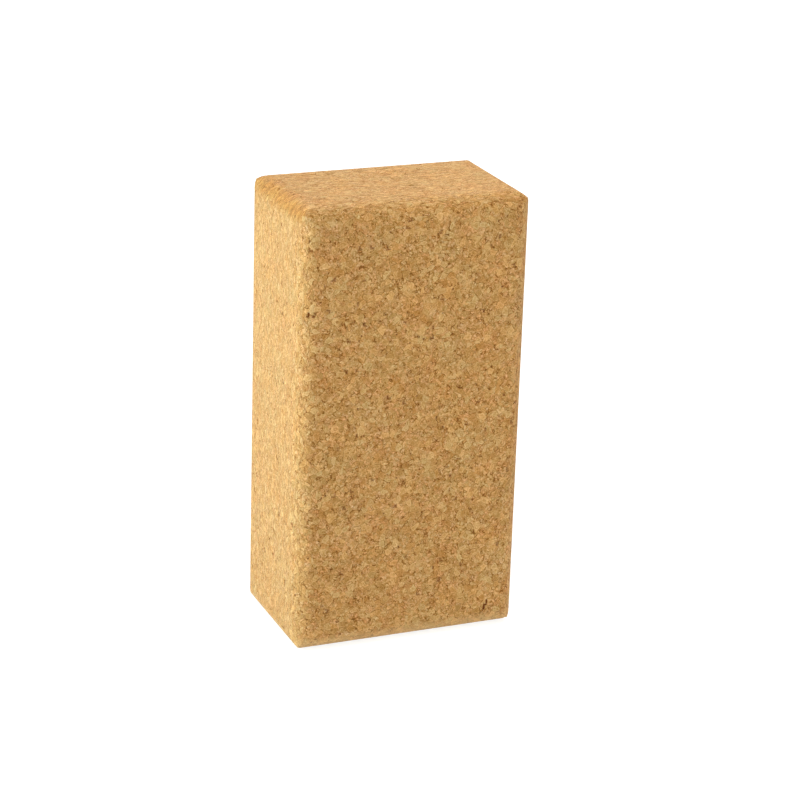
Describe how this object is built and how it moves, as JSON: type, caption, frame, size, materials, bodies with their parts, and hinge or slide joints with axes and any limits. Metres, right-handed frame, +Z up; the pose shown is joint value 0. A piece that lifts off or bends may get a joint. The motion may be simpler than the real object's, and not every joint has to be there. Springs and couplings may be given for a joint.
{
  "type": "yoga block",
  "caption": "Rectangular cork block with rounded edges, stood on an end, side or face to bring the floor closer to a hand, foot or hip in yoga and stretching.",
  "frame": {"origin": "middle of the short end that the block stands on", "axes": "+Z up the height, +X across the width to the right as the front is seen, +Y through the thickness from front to back"},
  "size_m": [0.12, 0.074, 0.228],
  "materials": {
    "cork": "matte pressed cork granules, sanded, with small dark pores"
  },
  "bodies": {
    "root": {"cork_block": "cork"}
  },
  "joints": []
}
